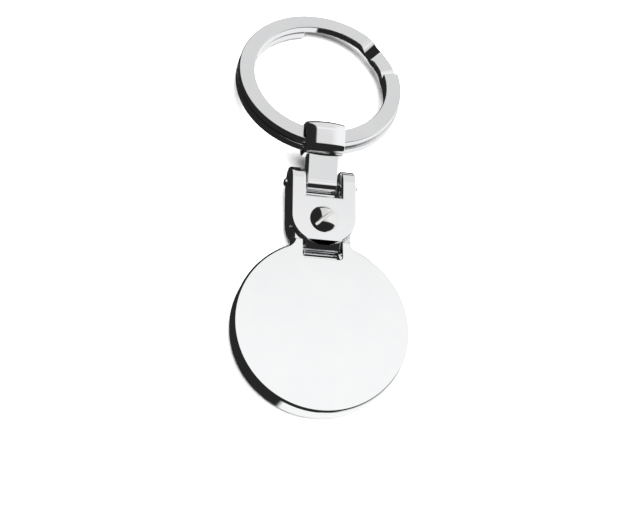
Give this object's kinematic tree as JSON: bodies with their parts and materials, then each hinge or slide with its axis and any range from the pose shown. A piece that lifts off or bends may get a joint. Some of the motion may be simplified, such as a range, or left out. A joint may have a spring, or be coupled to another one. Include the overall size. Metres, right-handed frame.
{
  "type": "round key-ring token",
  "caption": "Blank round metal token on a hinged key-ring hanger: a disc with a slotted neck, a screw-clamped shackle, an eye link and a flat split ring.",
  "frame": {"origin": "centre of the token's flat back face", "axes": "+X to the right, +Y from the token towards the split ring, +Z the way the token's front faces"},
  "size_m": [0.035, 0.0897, 0.013],
  "materials": {
    "token_chrome": "mirror polished chrome plate",
    "shackle_chrome": "polished chrome plate on a die casting",
    "screw_steel": "nickel-plated turned steel",
    "pin_steel": "plated steel",
    "ring_steel": "tumbled and plated flat spring steel"
  },
  "bodies": {
    "token": {"disc": "token_chrome"},
    "shackle": {"yoke_front": "shackle_chrome", "yoke_rear": "shackle_chrome", "clamp_screw": "screw_steel", "hinge_pin": "pin_steel"},
    "eye_link": {"link": "shackle_chrome"},
    "ring": {"split_ring": "ring_steel"}
  },
  "joints": [
    {"name": "shackle_swing", "type": "hinge", "parent": "token", "child": "shackle", "pos_m": [0, 0.0183, 0.0025], "axis": [1, 0, 0], "range_deg": [-10, 10]},
    {"name": "link_hinge", "type": "hinge", "parent": "shackle", "child": "eye_link", "pos_m": [0, 0.0305, 0.0025], "axis": [1, 0, 0], "range_deg": [-111, 89]},
    {"name": "ring_turn", "type": "hinge", "parent": "eye_link", "child": "ring", "pos_m": [0, 0.05473, 0.00075], "axis": [0, 0.225, 0.9744], "continuous": true}
  ]
}
